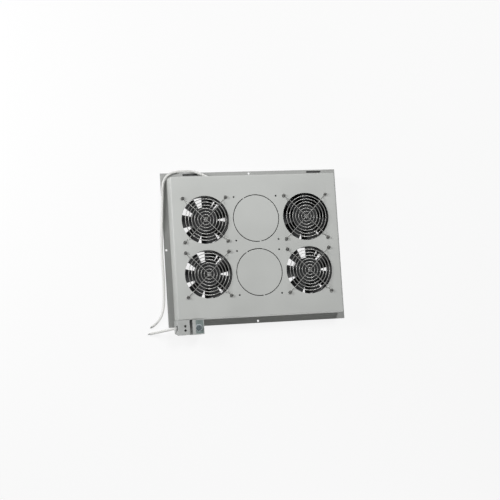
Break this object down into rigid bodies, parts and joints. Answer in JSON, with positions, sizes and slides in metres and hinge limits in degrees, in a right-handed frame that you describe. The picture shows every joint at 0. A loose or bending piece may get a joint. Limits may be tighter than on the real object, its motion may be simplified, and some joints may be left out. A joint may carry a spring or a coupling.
{
  "type": "rack fan tray",
  "caption": "Folded sheet-metal fan tray for a cabinet, with guarded axial fans, spare round knock-outs, a thermostat, a terminal box and mains leads.",
  "frame": {"origin": "centre of the lip's hole pattern on the underside of the lip", "axes": "+Z out of the perforated face, +X along the long side away from the lead, +Y towards the side that the fan lead leaves by"},
  "size_m": [0.4916, 0.3967, 0.0509],
  "materials": {
    "powder_coat_grey": "satin light grey powder coat",
    "black_rubber": "black rubber",
    "chrome_wire": "bright chrome-plated steel wire",
    "fan_black": "black painted die-cast aluminium",
    "fan_blade_black": "black moulded plastic",
    "shaft_steel": "ground steel",
    "stator_lacquer": "lacquered laminations and winding",
    "tinned_brass": "tinned brass",
    "zinc_steel": "zinc-plated steel",
    "box_grey": "light grey moulded plastic",
    "block_dark": "dark moulded plastic",
    "scale_blue_grey": "blue-grey scale plate",
    "dial_dark": "dark blue-grey moulded knob",
    "white_nylon": "natural nylon",
    "bimetal_strip": "rolled bimetal",
    "white_pvc": "white PVC sheath"
  },
  "bodies": {
    "tray": {"tray_pan": "powder_coat_grey", "slot_plugs": "black_rubber", "finger_guard_1": "chrome_wire", "finger_guard_2": "chrome_wire", "finger_guard_3": "chrome_wire", "finger_guard_4": "chrome_wire", "fan_frame_1": "fan_black", "fan_frame_2": "fan_black", "fan_frame_3": "fan_black", "fan_frame_4": "fan_black", "fan_bearings_1": "shaft_steel", "fan_bearings_2": "shaft_steel", "fan_bearings_3": "shaft_steel", "fan_bearings_4": "shaft_steel", "fan_stator_1": "stator_lacquer", "fan_stator_2": "stator_lacquer", "fan_stator_3": "stator_lacquer", "fan_stator_4": "stator_lacquer", "fan_terminals_1": "tinned_brass", "fan_terminals_2": "tinned_brass", "fan_terminals_3": "tinned_brass", "fan_terminals_4": "tinned_brass", "guard_screws": "zinc_steel", "fan_nuts": "zinc_steel", "terminal_housing": "box_grey", "terminal_cover": "box_grey", "terminal_block": "block_dark", "terminal_clamps": "tinned_brass", "terminal_screws": "zinc_steel", "supply_grommet": "black_rubber", "thermostat_housing": "box_grey", "thermostat_cover": "box_grey", "thermostat_scale": "scale_blue_grey", "thermostat_contacts": "block_dark", "thermostat_bimetal": "bimetal_strip", "box_fixings": "zinc_steel", "wiring_grommets": "black_rubber", "lead_edging": "black_rubber", "lead_connector": "white_nylon", "earth_stud": "zinc_steel", "earth_nut": "zinc_steel", "fan_lead": "white_pvc", "fan_lead_cores": "tinned_brass", "supply_lead": "white_pvc", "supply_lead_cores": "tinned_brass"},
    "rotor_1": {"fan_rotor_1": "fan_blade_black", "fan_shaft_1": "shaft_steel"},
    "rotor_2": {"fan_rotor_2": "fan_blade_black", "fan_shaft_2": "shaft_steel"},
    "rotor_3": {"fan_rotor_3": "fan_blade_black", "fan_shaft_3": "shaft_steel"},
    "rotor_4": {"fan_rotor_4": "fan_blade_black", "fan_shaft_4": "shaft_steel"},
    "dial": {"thermostat_dial": "dial_dark", "thermostat_cam": "white_nylon"}
  },
  "joints": [
    {"name": "fan_spin_1", "type": "hinge", "parent": "tray", "child": "rotor_1", "pos_m": [-0.125, 0.065, 0.0235], "axis": [0, 0, 1], "continuous": true},
    {"name": "fan_spin_2", "type": "hinge", "parent": "tray", "child": "rotor_2", "pos_m": [0.125, 0.065, 0.0235], "axis": [0, 0, 1], "continuous": true},
    {"name": "fan_spin_3", "type": "hinge", "parent": "tray", "child": "rotor_3", "pos_m": [-0.125, -0.065, 0.0235], "axis": [0, 0, 1], "continuous": true},
    {"name": "fan_spin_4", "type": "hinge", "parent": "tray", "child": "rotor_4", "pos_m": [0.125, -0.065, 0.0235], "axis": [0, 0, 1], "continuous": true},
    {"name": "thermostat_turn", "type": "hinge", "parent": "tray", "child": "dial", "pos_m": [-0.1566, -0.1898, 0.0437], "axis": [0, 0, 1], "range_deg": [-135, 135]}
  ]
}
